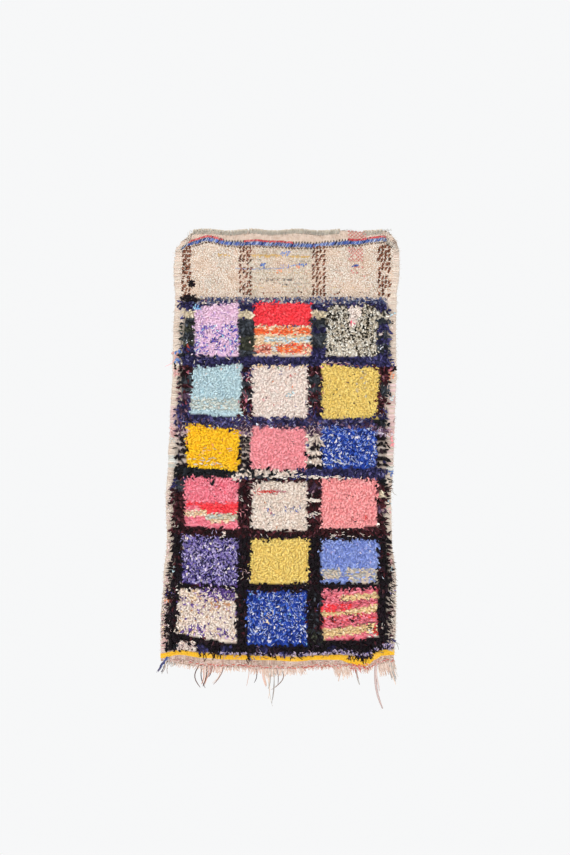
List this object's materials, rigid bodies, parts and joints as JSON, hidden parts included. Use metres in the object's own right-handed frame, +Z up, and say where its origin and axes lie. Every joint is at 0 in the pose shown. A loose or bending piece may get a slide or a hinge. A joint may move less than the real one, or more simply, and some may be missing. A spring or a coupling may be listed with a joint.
{
  "type": "boucherouite rug",
  "caption": "Hand-knotted rag rug hung flat by its top edge: a bare heading, eighteen coloured squares in a dark ground, a yellow foot stripe and a sparse fringe.",
  "frame": {"origin": "on the top edge, in the plane of the back, near the middle of the rug's width", "axes": "+Z up along the rug's length, +X across it to the right seen from the front, and the pile faces -Y, with the back in the plane Y = 0"},
  "size_m": [0.8732, 0.0225, 1.7372],
  "materials": {
    "rag_pile": "matte",
    "grey_yarn": "matte",
    "warp_ends": "matte",
    "blue_yarn": "matte"
  },
  "bodies": {
    "root": {"rug_body": "rag_pile", "top_overcast_left": "grey_yarn", "top_overcast_right": "grey_yarn", "bottom_fringe": "warp_ends", "corner_yarn_left": "blue_yarn"}
  },
  "joints": []
}
